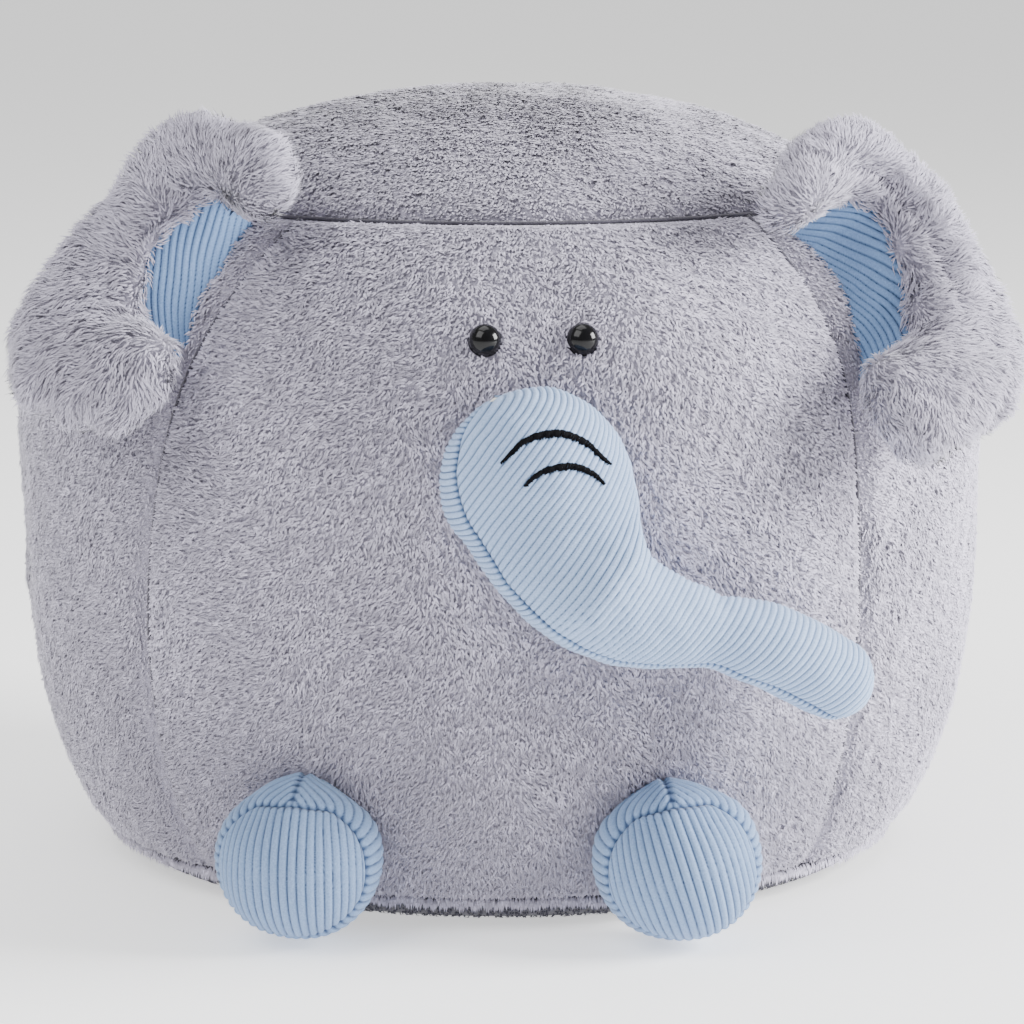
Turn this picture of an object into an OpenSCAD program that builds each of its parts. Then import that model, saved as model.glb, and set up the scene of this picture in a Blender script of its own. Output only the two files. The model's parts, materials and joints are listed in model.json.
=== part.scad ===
// Stuffed elephant pouf: a round plush body with two floppy ears, a curved trunk and two round feet.
// Millimetres. +Z is up, the face looks along -Y, and the origin is the centre of the flat base.
// Left and right are as seen by someone who faces the elephant, so left is -X.

/* [Body] */
// Diameter of the body at its widest
body_d = 438; // [424:2:450]
// Height of the crown above the floor
crown_z = 347; // [342:1:356]
// Height at which the body is widest
widest_z = 172; // [165:1:180]
// Radius of the flat base
base_r = 160; // [155:1:165]
// Radius of the seam around the top
top_seam_r = 165; // [162:1:170]
// Height of the seam around the top
top_seam_z = 306; // [303:1:309]
// Height of the seam around the base
base_seam_z = 12; // [10:1:14]
// Half of the angle that the face panel covers
face_half_angle = 43.5; // [41:0.5:46]
// Thickness of the plush cloth
cloth_t = 4; // [3:0.5:5]

/* [Eyes] */
// Diameter of an eye bead
eye_d = 14; // [12:1:15]
// Distance between the middles of the eyes
eye_gap = 40; // [38:1:44]
// Height of the eyes
eye_z = 257; // [252:1:262]

/* [Trunk] */
// Radius of the trunk's root where it is sewn to the face
root_r = 42; // [38:1:44]
// How far the root stands out from the face
root_h = 38; // [34:1:40]
// Height of the middle of the root
root_z = 205; // [203:1:207]
// Radius of the trunk's rounded neck, where the arm bends
neck_r = 27; // [25:0.5:27.5]
// Thickness of the corduroy
cord_t = 2; // [1.5:0.5:2.5]

/* [Ears] */
// Reach of an ear from its sewn line
ear_reach = 88; // [82:1:92]
// Thickness of one fur layer of an ear
ear_fur_t = 6; // [5:0.5:6]
// Thickness of the wadding inside an ear
ear_wadding_t = 6; // [4:0.5:6]

/* [Feet] */
// Radius of a foot
foot_r = 36; // [34:1:37]
// Distance from the body's middle line out to the middle of a foot
foot_out = 222; // [220:1:224]
// Turn of the left foot from straight ahead
foot_left_turn = -24.5; // [-27:0.5:-22]
// Turn of the right foot from straight ahead
foot_right_turn = 18; // [16:0.5:22]

/* [Hidden] */
$fn = 48;

fur_colour = [0.72, 0.71, 0.76];
base_colour = [0.5, 0.49, 0.54];
cord_colour = [0.66, 0.76, 0.86];
lining_colour = [0.52, 0.62, 0.76];
filling_colour = [0.95, 0.94, 0.9];
bead_colour = [0.03, 0.03, 0.03];
washer_colour = [0.85, 0.85, 0.83];

layer_gap = 0.2;
joint_gap = 0.5;
far = 600;
profile_steps = 14;

// Outline of the body. The power of a superellipse rounds the lower half, a power law the upper half.
widest_r = body_d / 2;
lower_power = 2.1;
upper_power = 3.6;
dome_power = 2.6;
function lower_r(z) = base_r
    + (widest_r - base_r) * pow(1 - pow((widest_z - z) / widest_z, lower_power), 1 / lower_power);
function upper_r(z) = widest_r
    - (widest_r - top_seam_r) * pow((z - widest_z) / (top_seam_z - widest_z), upper_power);
function side_r(z) = z < widest_z ? lower_r(z) : upper_r(z);
function side_slope(z) = (side_r(z + 0.5) - side_r(z - 0.5));
function dome_z(r) = crown_z - (crown_z - top_seam_z) * pow(r / top_seam_r, dome_power);
function side_steps(low, high) = [for (i = [0:profile_steps]) low + (high - low) * i / profile_steps];
function reversed(points) = [for (i = [len(points) - 1:-1:0]) points[i]];
// Heights up to the base seam, closer together near the floor
function base_steps(high) = [for (i = [0:6]) high * pow(i / 6, 2)];

// The filling and the shells share this outline, drawn in by inset.
function side_outline(inset, low, high) = [for (z = side_steps(low, high)) [side_r(z) - inset, z]];
function dome_outline(inset, out) = [for (i = [0:profile_steps])
    let (r = out * (1 - i / profile_steps)) [r, dome_z(r) - inset]];
function base_outline(inset) = [for (z = base_steps(base_seam_z))
    [side_r(z) - inset, max(z, inset)]];

// Puts its children on the side of the body, with +Z straight out of the cloth.
module on_body(turn, z, lift = 0) {
    tilt = atan(side_slope(z));
    rotate([0, 0, turn])
        translate([0, -side_r(z), z])
            rotate([90 + tilt, 0, 0])
                translate([0, 0, lift])
                    children();
}

// One upright panel of plush cloth, from one turn to another.
module side_panel(from_turn, to_turn) {
    seam_turn = 0.05;
    low = base_seam_z + layer_gap;
    color(fur_colour)
        rotate([0, 0, from_turn - 90 + seam_turn])
            rotate_extrude(angle = to_turn - from_turn - 2 * seam_turn)
                polygon(concat(
                    side_outline(0, low, top_seam_z),
                    reversed(side_outline(cloth_t, low, top_seam_z))));
}

module base_panel() {
    color(base_colour)
        rotate_extrude()
            polygon(concat([[0, 0]], base_outline(0), reversed(base_outline(cloth_t)), [[0, cloth_t]]));
}

module face_panel() {
    difference() {
        side_panel(-face_half_angle, face_half_angle);
        eye_places() cylinder(r = stem_hole_r, h = 40, center = true);
    }
}

module left_side_panel() {
    side_panel(face_half_angle - 180, -face_half_angle);
}

module right_side_panel() {
    side_panel(face_half_angle, 180 - face_half_angle);
}

module back_panel() {
    side_panel(180 - face_half_angle, 180 + face_half_angle);
}

module top_panel() {
    rim_r = top_seam_r - cloth_t - 0.5;
    color(fur_colour)
        rotate_extrude()
            polygon(concat(
                [[0, crown_z - cloth_t]],
                reversed(dome_outline(cloth_t, rim_r)),
                [[rim_r, top_seam_z + layer_gap], [top_seam_r, top_seam_z + layer_gap]],
                dome_outline(0, top_seam_r - 0.5)));
}

// The filling follows the inner faces of the panels, and stops a little short of the top seam.
module body_stuffing() {
    inset = cloth_t + layer_gap;
    side = side_outline(inset, base_seam_z + layer_gap, top_seam_z);
    color(filling_colour)
        difference() {
            rotate_extrude()
                polygon(concat(
                    [[0, inset]],
                    base_outline(inset),
                    [for (i = [0:len(side) - 2]) side[i]],
                    [side[len(side) - 2] * 0.25 + side[len(side) - 1] * 0.75],
                    dome_outline(inset + 1, top_seam_r - 3 * inset)));
            eye_places()
                translate([0, 0, -cloth_t - stem_l + 1])
                    cylinder(r = washer_r + layer_gap, h = stem_l + cloth_t);
        }
}

// Eyes: a glossy bead with a stem through the cloth and a locking washer behind it.
stem_r = 2;
stem_hole_r = stem_r + 0.1;
stem_l = 12;
bead_h = 9;
washer_r = 8;
washer_t = 2;
face_turn = 2;
eye_turn = asin(eye_gap / 2 / side_r(eye_z));

module eye_place(side) {
    on_body(face_turn + side * eye_turn, eye_z) children();
}

module eye_places() {
    for (side = [-1, 1]) eye_place(side) children();
}

module eye_bead(side) {
    color(bead_colour)
        eye_place(side) {
            translate([0, 0, 1])
                rotate_extrude()
                    polygon(concat([[0, 0]],
                        [for (a = [0:7.5:90]) [eye_d / 2 * cos(a), 1 + (bead_h - 1) * sin(a)]]));
            translate([0, 0, 1.5 - stem_l])
                cylinder(r = stem_r, h = stem_l);
        }
}

module eye_washer(side) {
    color(washer_colour)
        eye_place(side)
            translate([0, 0, -cloth_t - washer_t - 1.5])
                difference() {
                    cylinder(r = washer_r, h = washer_t);
                    translate([0, 0, -1]) cylinder(r = stem_hole_r, h = washer_t + 2);
                }
}

module eye_left_bead() {
    eye_bead(-1);
}

module eye_right_bead() {
    eye_bead(1);
}

module eye_left_washer() {
    eye_washer(-1);
}

module eye_right_washer() {
    eye_washer(1);
}

// Trunk. Its middle line, from the neck to the tip, and its radius at each point.
trunk_points = [
    [30, -249, 163], [47, -243.5, 151], [62, -240, 146], [79, -236, 142],
    [99, -232.5, 135.5], [118, -225.5, 126], [131, -218.5, 118]];
trunk_radii = [neck_r, 24, 19, 15.5, 17, 18, 16.5];
neck = trunk_points[0];
root_turn = 1.5;
root_power = 2.2;
crease_t = 1.2;
function root_outline(grow) = [for (i = [0:12])
    let (a = i * 7.5, r = root_r + grow, h = root_h + grow)
    [r * pow(cos(a), 2 / root_power), h * pow(sin(a), 2 / root_power)]];

module at_root() {
    on_body(root_turn, root_z, joint_gap) children();
}

module root_dome(grow) {
    at_root()
        rotate_extrude()
            polygon(concat([[0, 0]], root_outline(grow)));
}

module neck_ball(grow) {
    translate(neck) sphere(r = neck_r + grow);
}

module trunk_root_cover() {
    color(cord_colour)
        difference() {
            root_dome(0);
            root_dome(-cord_t);
            neck_ball(joint_gap + 0.2);
        }
}

module trunk_root_stuffing() {
    color(filling_colour)
        difference() {
            root_dome(-cord_t - layer_gap);
            neck_ball(joint_gap + 0.2);
        }
}

// A flat arc that spans width and rises by rise, as a band of the given thickness.
module arc_band(width, rise, band) {
    r = (width * width / 4 + rise * rise) / (2 * rise);
    half = asin(width / 2 / r);
    translate([0, rise - r, 0])
        rotate([0, 0, 90 - half])
            rotate_extrude(angle = 2 * half)
                translate([r - band / 2, 0])
                    square([band, root_h + 10]);
}

module trunk_crease_threads() {
    band = 3;
    color(bead_colour)
        difference() {
            intersection() {
                root_dome(layer_gap + crease_t);
                at_root() {
                    translate([7, 6, 5]) arc_band(46, 12, band);
                    translate([11, -3, 5]) arc_band(34, 8, band);
                }
            }
            root_dome(layer_gap);
        }
}

module trunk_arm(inset) {
    for (i = [0:len(trunk_points) - 2])
        hull() {
            for (j = [i, i + 1])
                translate(trunk_points[j]) sphere(r = trunk_radii[j] - inset, $fn = 16);
        }
}

// The half of space on the under side of the trunk's side seams.
module under_half() {
    translate(trunk_points[3])
        rotate([62, 0, 12])
            translate([-far / 2, -far / 2, -far])
                cube([far, far, far]);
}

module trunk_upper_panel() {
    color(cord_colour)
        difference() {
            trunk_arm(0);
            trunk_arm(cord_t);
            under_half();
        }
}

module trunk_under_panel() {
    color(cord_colour)
        intersection() {
            difference() {
                trunk_arm(0);
                trunk_arm(cord_t);
            }
            translate([0, 0, -layer_gap]) under_half();
        }
}

module trunk_stuffing() {
    color(filling_colour) trunk_arm(cord_t + layer_gap);
}

// Ears. An ear is a flat pouch in its own frame: -X runs out from the sewn line, which is the Z axis,
// and -Y is its front. The right ear is the mirror image of the left one.
ear_z = 272;
ear_turn = 36.5;
ear_swing = -30;
ear_lean_back = -25;
ear_lean_in = 25;
ear_root_top = 46;
ear_root_bottom = -54;
ear_t = 2 * ear_fur_t + ear_wadding_t + 2 * layer_gap;
ear_lift = ear_t / 2 + 3;

module at_ear() {
    side = side_r(ear_z) + ear_lift;
    translate([-side * sin(ear_turn), -side * cos(ear_turn), ear_z + ear_lift * 0.6])
        rotate([0, 0, ear_swing])
            rotate([ear_lean_back, 0, 0])
                rotate([0, ear_lean_in, 0])
                    children();
}

module ear_outline(inset) {
    top_r = 30;
    bottom_r = 36;
    hull() {
        translate([top_r - ear_reach + 6, 34]) circle(r = top_r - inset);
        translate([bottom_r - ear_reach, -47]) circle(r = bottom_r - inset);
        translate([-3, ear_root_bottom + inset])
            square([3, ear_root_top - ear_root_bottom - 2 * inset]);
    }
}

module lining_outline(grow) {
    hull() {
        translate([-24, 26]) circle(r = 12 + grow);
        translate([-24, -20]) circle(r = 15 + grow);
        translate([-3, -34 - grow]) square([4, 68 + 2 * grow]);
    }
}

module ear_layer(back, thickness) {
    at_ear()
        translate([0, back, 0])
            rotate([90, 0, 0])
                linear_extrude(height = thickness)
                    children();
}

module ear_back() {
    color(fur_colour) ear_layer(ear_t / 2, ear_fur_t) ear_outline(0);
}

module ear_wadding() {
    color(filling_colour) ear_layer(ear_wadding_t / 2, ear_wadding_t) ear_outline(3);
}

module ear_rim() {
    color(fur_colour)
        ear_layer(ear_fur_t - ear_t / 2, ear_fur_t)
            difference() {
                ear_outline(0);
                lining_outline(layer_gap);
            }
}

module ear_lining() {
    color(lining_colour)
        ear_layer(ear_fur_t - ear_t / 2, ear_fur_t - 2)
            intersection() {
                lining_outline(0);
                ear_outline(0);
            }
}

module mirrored() {
    mirror([1, 0, 0]) children();
}

module ear_left_back() {
    ear_back();
}

module ear_left_rim() {
    ear_rim();
}

module ear_left_lining() {
    ear_lining();
}

module ear_left_wadding() {
    ear_wadding();
}

module ear_right_back() {
    mirrored() ear_back();
}

module ear_right_rim() {
    mirrored() ear_rim();
}

module ear_right_lining() {
    mirrored() ear_lining();
}

module ear_right_wadding() {
    mirrored() ear_wadding();
}

// Feet. A foot is a ball with a flat back, which is sewn to the body along its rim. In its own frame
// +Z runs out from the body through the middle of the flat back, and +Y runs up.
foot_tilt = 20;
foot_cut = 22;
toe_half_angle = 50;
toe_rise = 12;

module at_foot(turn) {
    rotate([0, 0, turn])
        translate([0, -foot_out, foot_r])
            rotate([90 + foot_tilt, 0, 0])
                children();
}

// A solid ball of the given radius, with its flat back at foot_cut.
module foot_ball(turn, r) {
    start = -asin(foot_cut / r);
    steps = 20;
    at_foot(turn)
        rotate_extrude()
            polygon(concat(
                [[0, -foot_cut]],
                [for (i = [0:steps]) let (a = start + (90 - start) * i / steps) [r * cos(a), r * sin(a)]]));
}

// The space in front of the seam around the toe panel.
module toe_side(turn, shift) {
    at_foot(turn)
        rotate([-toe_rise, 0, 0])
            translate([-far / 2, -far / 2, foot_r * cos(toe_half_angle) + shift])
                cube([far, far, far]);
}

module foot_shell(turn) {
    difference() {
        foot_ball(turn, foot_r);
        foot_ball(turn, foot_r - cord_t);
    }
}

module foot_toe_panel(turn) {
    color(cord_colour)
        intersection() {
            foot_shell(turn);
            toe_side(turn, layer_gap);
        }
}

module foot_gusset(turn) {
    color(cord_colour)
        difference() {
            foot_shell(turn);
            toe_side(turn, 0);
        }
}

module foot_stuffing(turn) {
    color(filling_colour) foot_ball(turn, foot_r - cord_t - layer_gap);
}

module foot_left_toe_panel() {
    foot_toe_panel(foot_left_turn);
}

module foot_left_gusset() {
    foot_gusset(foot_left_turn);
}

module foot_left_stuffing() {
    foot_stuffing(foot_left_turn);
}

module foot_right_toe_panel() {
    foot_toe_panel(foot_right_turn);
}

module foot_right_gusset() {
    foot_gusset(foot_right_turn);
}

module foot_right_stuffing() {
    foot_stuffing(foot_right_turn);
}

base_panel();
face_panel();
left_side_panel();
right_side_panel();
back_panel();
top_panel();
body_stuffing();
eye_left_bead();
eye_right_bead();
eye_left_washer();
eye_right_washer();
trunk_root_cover();
trunk_root_stuffing();
trunk_crease_threads();
trunk_upper_panel();
trunk_under_panel();
trunk_stuffing();
ear_left_back();
ear_left_rim();
ear_left_lining();
ear_left_wadding();
ear_right_back();
ear_right_rim();
ear_right_lining();
ear_right_wadding();
foot_left_toe_panel();
foot_left_gusset();
foot_left_stuffing();
foot_right_toe_panel();
foot_right_gusset();
foot_right_stuffing();
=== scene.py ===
"""The looks of the stuffed elephant pouf: plush panels with a real pile, ribbed corduroy, stitching, beads.

Lengths are in millimetres in the same axes as the frame, and become metres when a mesh is made.
Left is -X. Turns are in degrees from the front, positive towards +X.
"""

import json
import math

import bpy
import numpy as np
from mathutils import Matrix, Vector
from mathutils.bvhtree import BVHTree

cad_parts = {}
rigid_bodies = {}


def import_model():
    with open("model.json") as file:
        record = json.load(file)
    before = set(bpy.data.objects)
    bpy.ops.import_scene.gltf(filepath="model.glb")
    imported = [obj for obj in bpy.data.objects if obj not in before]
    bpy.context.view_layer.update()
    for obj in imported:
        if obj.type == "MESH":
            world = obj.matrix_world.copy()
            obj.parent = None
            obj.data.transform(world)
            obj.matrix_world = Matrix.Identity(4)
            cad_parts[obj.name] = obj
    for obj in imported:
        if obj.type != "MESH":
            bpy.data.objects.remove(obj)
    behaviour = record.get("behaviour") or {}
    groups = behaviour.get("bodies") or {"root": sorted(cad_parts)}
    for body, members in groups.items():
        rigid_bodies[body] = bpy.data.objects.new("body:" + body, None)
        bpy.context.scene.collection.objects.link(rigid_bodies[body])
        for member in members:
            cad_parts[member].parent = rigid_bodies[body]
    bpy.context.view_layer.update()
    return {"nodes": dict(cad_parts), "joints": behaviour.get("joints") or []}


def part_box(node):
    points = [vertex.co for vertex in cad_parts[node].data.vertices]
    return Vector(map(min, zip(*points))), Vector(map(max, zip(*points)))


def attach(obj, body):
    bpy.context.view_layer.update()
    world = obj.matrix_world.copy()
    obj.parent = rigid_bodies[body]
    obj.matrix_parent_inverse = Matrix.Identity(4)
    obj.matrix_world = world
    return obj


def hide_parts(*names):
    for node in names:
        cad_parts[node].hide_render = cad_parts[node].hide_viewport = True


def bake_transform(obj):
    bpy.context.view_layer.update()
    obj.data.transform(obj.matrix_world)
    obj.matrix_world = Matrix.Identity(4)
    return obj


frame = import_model()
MM = 0.001
rng = np.random.default_rng(31)


# ---------------------------------------------------------------- sizes

def box_mm(node):
    """The lowest and highest corner of a CAD node."""
    low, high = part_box(node)
    return np.array(low) / MM, np.array(high) / MM


def joint_mm(name):
    """The place of a joint."""
    joint = next(j for j in frame["joints"] if j["name"] == name)
    return np.array(joint["pos_m"]) / MM


WIDEST_R = box_mm("right_side_panel")[1][0]
CROWN_Z = box_mm("top_panel")[1][2]
TOP_SEAM_Z = box_mm("face_panel")[1][2]
TOP_SEAM_R = box_mm("top_panel")[1][0]
BASE_SEAM_Z = box_mm("base_panel")[1][2]
BASE_R = 160
WIDEST_Z = 172
LOWER_POWER, UPPER_POWER, DOME_POWER = 2.1, 3.6, 2.6

CLOTH_T = 2.5
SEAM_PINCH = 3.2
SEAM_WIDTH = 4.5
PANEL_BULGE = 2.0
BULGE_REACH = 28
RIM_REACH = 25
BACK_SEAM = 136.5

FUR_STEP = 1.2
EAR_FUR_STEP = 1.15


# ---------------------------------------------------------------- small maths

def unit(v):
    return v / np.maximum(np.linalg.norm(v, axis=-1, keepdims=True), 1e-9)


def smooth(t):
    t = np.clip(t, 0, 1)
    return t * t * (3 - 2 * t)


def waves(seed, wavelength, count=9):
    """A smooth random field over space, about -1 to 1, from a sum of waves."""
    pick = np.random.default_rng(seed)
    directions = unit(pick.normal(size=(count, 3)))
    k = directions * (2 * math.pi / (wavelength * pick.uniform(0.7, 1.6, (count, 1))))
    phase = pick.uniform(0, 2 * math.pi, count)
    return lambda p: np.sin(p @ k.T + phase).sum(-1) / math.sqrt(count)


def spline(points, steps):
    """A smooth curve through the rows of points, as rows of steps even samples."""
    p = np.asarray(points, float)
    p = np.vstack([2 * p[0] - p[1], p, 2 * p[-1] - p[-2]])
    t = np.linspace(0, len(p) - 3 - 1e-9, steps)
    i = t.astype(int)
    f = (t - i)[:, None]
    a, b, c, d = p[i], p[i + 1], p[i + 2], p[i + 3]
    return 0.5 * (2 * b + (c - a) * f + (2 * a - 5 * b + 4 * c - d) * f**2 + (3 * b - a - 3 * c + d) * f**3)


def walked_along(p):
    """The length walked from the first point of each row of points."""
    steps = np.linalg.norm(np.diff(p, axis=-2), axis=-1)
    return np.concatenate([np.zeros((*steps.shape[:-1], 1)), np.cumsum(steps, -1)], -1)


def grid_normals(g, wrap=False):
    """Unit normals of a grid of points, rows by columns by 3, out of the side where row x column points."""
    if wrap:
        across = np.roll(g, -1, 1) - np.roll(g, 1, 1)
    else:
        across = np.gradient(g, axis=1)
    up = np.gradient(g, axis=0)
    return unit(np.cross(across, up))


# ---------------------------------------------------------------- meshes

def mesh_object(name, verts, quads=(), tris=(), shade_smooth=True):
    quads = np.asarray(quads, np.int32).reshape(-1, 4)
    tris = np.asarray(tris, np.int32).reshape(-1, 3)
    mesh = bpy.data.meshes.new(name)
    mesh.vertices.add(len(verts))
    mesh.vertices.foreach_set("co", (np.asarray(verts, float) * MM).astype(np.float32).ravel())
    mesh.loops.add(quads.size + tris.size)
    mesh.loops.foreach_set("vertex_index", np.concatenate([quads.ravel(), tris.ravel()]))
    mesh.polygons.add(len(quads) + len(tris))
    starts = np.concatenate([np.arange(len(quads)) * 4, quads.size + np.arange(len(tris)) * 3])
    mesh.polygons.foreach_set("loop_start", starts.astype(np.int32))
    mesh.update(calc_edges=True)
    mesh.polygons.foreach_set("use_smooth", np.full(len(mesh.polygons), shade_smooth))
    obj = bpy.data.objects.new(name, mesh)
    bpy.context.scene.collection.objects.link(obj)
    return obj


def paint(obj, *materials):
    for m in materials:
        obj.data.materials.append(m)
    return obj


def settle(piece, body, stands_for=None):
    """Says which body a piece rides on and the CAD node that it replaces."""
    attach(piece, body)
    if stands_for:
        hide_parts(stands_for)


def attribute(obj, name, values):
    a = obj.data.attributes.new(name, "FLOAT", "POINT")
    a.data.foreach_set("value", np.asarray(values, np.float32).ravel())


def grid_quads(rows, columns, wrap, first=0):
    last = columns if wrap else columns - 1
    r, c = np.meshgrid(np.arange(rows - 1), np.arange(last), indexing="ij")
    c2 = (c + 1) % columns
    low, high = r * columns, (r + 1) * columns
    return first + np.stack([low + c, low + c2, high + c2, high + c], -1).reshape(-1, 4)


def zip_edges(fine, coarse, closed):
    """Triangles between a fine row of points and a coarse one, with one point for every few fine ones."""
    n, m = len(fine), len(coarse)
    spans = m if closed else m - 1
    step = n // m if closed else (n - 1) // (m - 1)
    tris = []
    for j in range(spans):
        a, b = coarse[j], coarse[(j + 1) % m]
        half = step // 2
        for i in range(step):
            f, g = fine[(j * step + i) % n], fine[(j * step + i + 1) % n]
            tris.append((a if i < half else b, f, g))
        tris.append((a, fine[(j * step + half) % n], b))
    return np.array(tris, np.int32)


def cloth_shell(name, outer, base, step, wrap=False, thickness=CLOTH_T):
    """A closed sheet of cloth. outer is its face, with every rib; base is the smooth surface under the ribs,
    and the back of the cloth is made from every step-th point of that."""
    rows, columns = outer.shape[:2]
    normals = grid_normals(base, wrap)
    keep_r = np.arange(0, rows, step)
    keep_c = np.arange(0, columns, step)
    inner = (base - normals * thickness)[np.ix_(keep_r, keep_c)]
    ir, ic = inner.shape[:2]
    verts = np.concatenate([outer.reshape(-1, 3), inner.reshape(-1, 3)])
    start = rows * columns
    quads = [grid_quads(rows, columns, wrap), grid_quads(ir, ic, wrap, start)[:, ::-1]]
    fine = np.arange(start).reshape(rows, columns)
    coarse = start + np.arange(ir * ic).reshape(ir, ic)
    tris = [zip_edges(fine[0], coarse[0], wrap)[:, ::-1], zip_edges(fine[-1], coarse[-1], wrap)]
    if not wrap:
        tris += [zip_edges(fine[:, 0], coarse[:, 0], False),
                 zip_edges(fine[:, -1], coarse[:, -1], False)[:, ::-1]]
    return mesh_object(name, verts, np.concatenate(quads), np.concatenate(tris))


# ---------------------------------------------------------------- materials

def new_material(name, colour, roughness=0.9, sheen=0.0, sheen_roughness=0.5, specular=0.2):
    m = bpy.data.materials.new(name)
    m.use_nodes = True
    p = m.node_tree.nodes["Principled BSDF"]
    p.inputs["Base Color"].default_value = (*colour, 1)
    p.inputs["Roughness"].default_value = roughness
    p.inputs["Sheen Weight"].default_value = sheen
    p.inputs["Sheen Roughness"].default_value = sheen_roughness
    p.inputs["Sheen Tint"].default_value = (1, 1, 1, 1)
    p.inputs["Specular IOR Level"].default_value = specular
    return m


def node(m, kind, **values):
    n = m.node_tree.nodes.new(kind)
    for key, value in values.items():
        if key in n.inputs:
            n.inputs[key].default_value = value
        else:
            setattr(n, key, value)
    return n


def link(m, a, b):
    m.node_tree.links.new(a, b)


def noise(m, scale, detail=3.0, roughness=0.6):
    where = node(m, "ShaderNodeTexCoord")
    n = node(m, "ShaderNodeTexNoise", Scale=scale, Detail=detail, Roughness=roughness)
    link(m, where.outputs["Object"], n.inputs["Vector"])
    return n


def ramp(m, source, stops):
    r = node(m, "ShaderNodeValToRGB")
    while len(r.color_ramp.elements) < len(stops):
        r.color_ramp.elements.new(0.5)
    for e, (at, colour) in zip(r.color_ramp.elements, stops):
        e.position = at
        e.color = (*colour, 1) if len(colour) == 3 else colour
    link(m, source, r.inputs["Fac"])
    return r


def mixed(m, factor, a, b, how="MIX"):
    """A colour mix; factor is a socket or a number, a and b are sockets or colours."""
    n = node(m, "ShaderNodeMix", data_type="RGBA", blend_type=how)
    for socket, value in ((n.inputs[0], factor), (n.inputs[6], a), (n.inputs[7], b)):
        if isinstance(value, bpy.types.NodeSocket):
            link(m, value, socket)
        elif isinstance(value, (int, float)):
            socket.default_value = value
        else:
            socket.default_value = (*value, 1)
    return n.outputs[2]


def set_bump(m, height, strength, distance):
    b = node(m, "ShaderNodeBump", Strength=strength, Distance=distance)
    link(m, height, b.inputs["Height"])
    link(m, b.outputs["Normal"], m.node_tree.nodes["Principled BSDF"].inputs["Normal"])


def set_input(m, name, socket):
    link(m, socket, m.node_tree.nodes["Principled BSDF"].inputs[name])


def tint(m, source, stops):
    """Colours the surface by a ramp over source."""
    set_input(m, "Base Color", ramp(m, source, stops).outputs["Color"])


def plush_cloth(name, dark, light):
    """The woven backing and short undercoat that show between the hairs of the pile."""
    m = new_material(name, light, roughness=0.95, sheen=0.3)
    patches = noise(m, 18, 4)
    hairs = noise(m, 900, 2, 0.7)
    colour = ramp(m, patches.outputs["Fac"], [(0.3, dark), (0.7, light)])
    speckle = ramp(m, hairs.outputs["Fac"], [(0.35, (0.55, 0.55, 0.58)), (0.65, (1, 1, 1))])
    set_input(m, "Base Color", mixed(m, 0.8, colour.outputs["Color"], speckle.outputs["Color"], "MULTIPLY"))
    set_bump(m, hairs.outputs["Fac"], 0.5, 0.0006)
    return m


def corduroy(name, valley, ridge, fuzz_scale=1500):
    """Ribbed cloth: the ribs are in the mesh, which gives each point's depth in its groove attribute. The
    colour runs from ridge to valley with that depth: painted shade in the grooves.
    """
    m = new_material(name, ridge, roughness=0.85, sheen=0.25, sheen_roughness=0.4)
    groove = node(m, "ShaderNodeAttribute", attribute_name="groove")
    wear = noise(m, 35, 4)
    fuzz = noise(m, fuzz_scale, 3, 0.7)
    # Darker from ridge to valley with the groove's depth: painted shade in the grooves.
    groove_shade = ramp(m, groove.outputs["Fac"], [(0.0, ridge), (0.3, ridge), (0.85, valley)])
    patch = ramp(m, wear.outputs["Fac"], [(0.3, (0.93, 0.94, 0.96)), (0.7, (1, 1, 1))])
    nap = ramp(m, fuzz.outputs["Fac"], [(0.32, (0.66, 0.7, 0.76)), (0.68, (1, 1, 1))])
    colour = mixed(m, 1.0, groove_shade.outputs["Color"], patch.outputs["Color"], "MULTIPLY")
    set_input(m, "Base Color", mixed(m, 1.0, colour, nap.outputs["Color"], "MULTIPLY"))
    set_bump(m, fuzz.outputs["Fac"], 0.7, 0.0005)
    return m


def weave_cloth(name, dark, light):
    """A plain weave, for the underside of the base."""
    m = new_material(name, light, roughness=0.9, sheen=0.1)
    where = node(m, "ShaderNodeTexCoord")
    threads = []
    for axis in ("X", "Y"):
        w = node(m, "ShaderNodeTexWave", Scale=180.0, Distortion=0.6, wave_type="BANDS", bands_direction=axis)
        link(m, where.outputs["Object"], w.inputs["Vector"])
        threads.append(w.outputs["Fac"])
    weave = node(m, "ShaderNodeMath", operation="MULTIPLY")
    link(m, threads[0], weave.inputs[0])
    link(m, threads[1], weave.inputs[1])
    tint(m, weave.outputs[0], [(0.0, dark), (0.8, light)])
    set_bump(m, weave.outputs[0], 0.5, 0.0005)
    return m


def fibre_filling(name):
    m = new_material(name, (0.85, 0.84, 0.8), roughness=0.95, sheen=0.3)
    fluff = noise(m, 60, 6, 0.7)
    tint(m, fluff.outputs["Fac"], [(0.3, (0.62, 0.61, 0.58)), (0.7, (0.9, 0.89, 0.86))])
    set_bump(m, fluff.outputs["Fac"], 0.6, 0.003)
    return m


def moulded_plastic(name, colour, roughness):
    m = new_material(name, colour, roughness=roughness, specular=0.3)
    darker = tuple(c * 0.6 for c in colour)
    tint(m, noise(m, 260, 2).outputs["Fac"], [(0.35, darker), (0.65, colour)])
    return m


def satin_thread(name, colour):
    m = new_material(name, colour, roughness=0.6, specular=0.08)
    lighter = tuple(c * 2.5 for c in colour)
    tint(m, noise(m, 2500, 2).outputs["Fac"], [(0.4, colour), (0.75, lighter)])
    return m


def pile_tones(name, root, tips, sheen=0.4):
    """One material for the lower half of every hair tuft, and several for the tips."""
    tones = [new_material(f"{name}_root", root, sheen=0.1)]
    for i, tip in enumerate(tips):
        tones.append(new_material(f"{name}_tip_{i + 1}", tip, sheen=sheen))
    return tones


def plush_tone(level):
    """The plush's lavender grey at a lightness."""
    return (level, level * 0.945, level * 1.17)


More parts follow.
